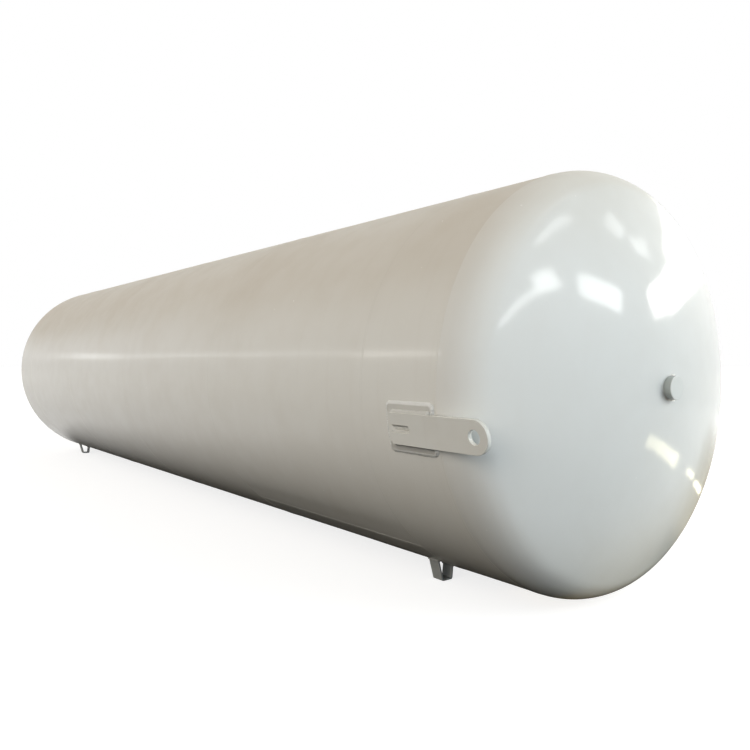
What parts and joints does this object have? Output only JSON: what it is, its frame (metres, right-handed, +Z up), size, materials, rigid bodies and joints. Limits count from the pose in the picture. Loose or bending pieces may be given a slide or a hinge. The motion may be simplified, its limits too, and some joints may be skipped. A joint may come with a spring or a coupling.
{
  "type": "horizontal pressure tank",
  "caption": "Long white cylindrical pressure tank lying on bent-strip feet, with dished heads, a capped vent in one head and a forked lifting lug on one flank.",
  "frame": {"origin": "on the floor, below the middle of the shell and on its centre plane", "axes": "+X along the tank towards the head with the capped vent, +Z up, -Y towards the flank that the picture shows"},
  "size_m": [10.2928, 2.5344, 2.522],
  "materials": {
    "shell_paint": "gloss white enamel",
    "lug_paint": "gloss white enamel over weld and plate edges",
    "foot_paint": "dusty grey-white paint",
    "vent_paint": "gloss white enamel",
    "screw_steel": "plated steel"
  },
  "bodies": {
    "root": {"shell_course_1": "shell_paint", "shell_course_2": "shell_paint", "shell_course_3": "shell_paint", "shell_course_4": "shell_paint", "shell_course_5": "shell_paint", "shell_course_6": "shell_paint", "vent_end_head": "shell_paint", "plain_end_head": "shell_paint", "girth_weld_1": "shell_paint", "girth_weld_2": "shell_paint", "girth_weld_3": "shell_paint", "girth_weld_4": "shell_paint", "girth_weld_5": "shell_paint", "girth_weld_6": "shell_paint", "girth_weld_7": "shell_paint", "lug_pad": "lug_paint", "lug_plate": "lug_paint", "lug_weld": "lug_paint", "vent_end_front_foot": "foot_paint", "vent_end_back_foot": "foot_paint", "plain_end_front_foot": "foot_paint", "plain_end_back_foot": "foot_paint", "vent_neck": "vent_paint", "vent_cap": "vent_paint", "vent_upper_screw": "screw_steel", "vent_lower_screw": "screw_steel"}
  },
  "joints": []
}
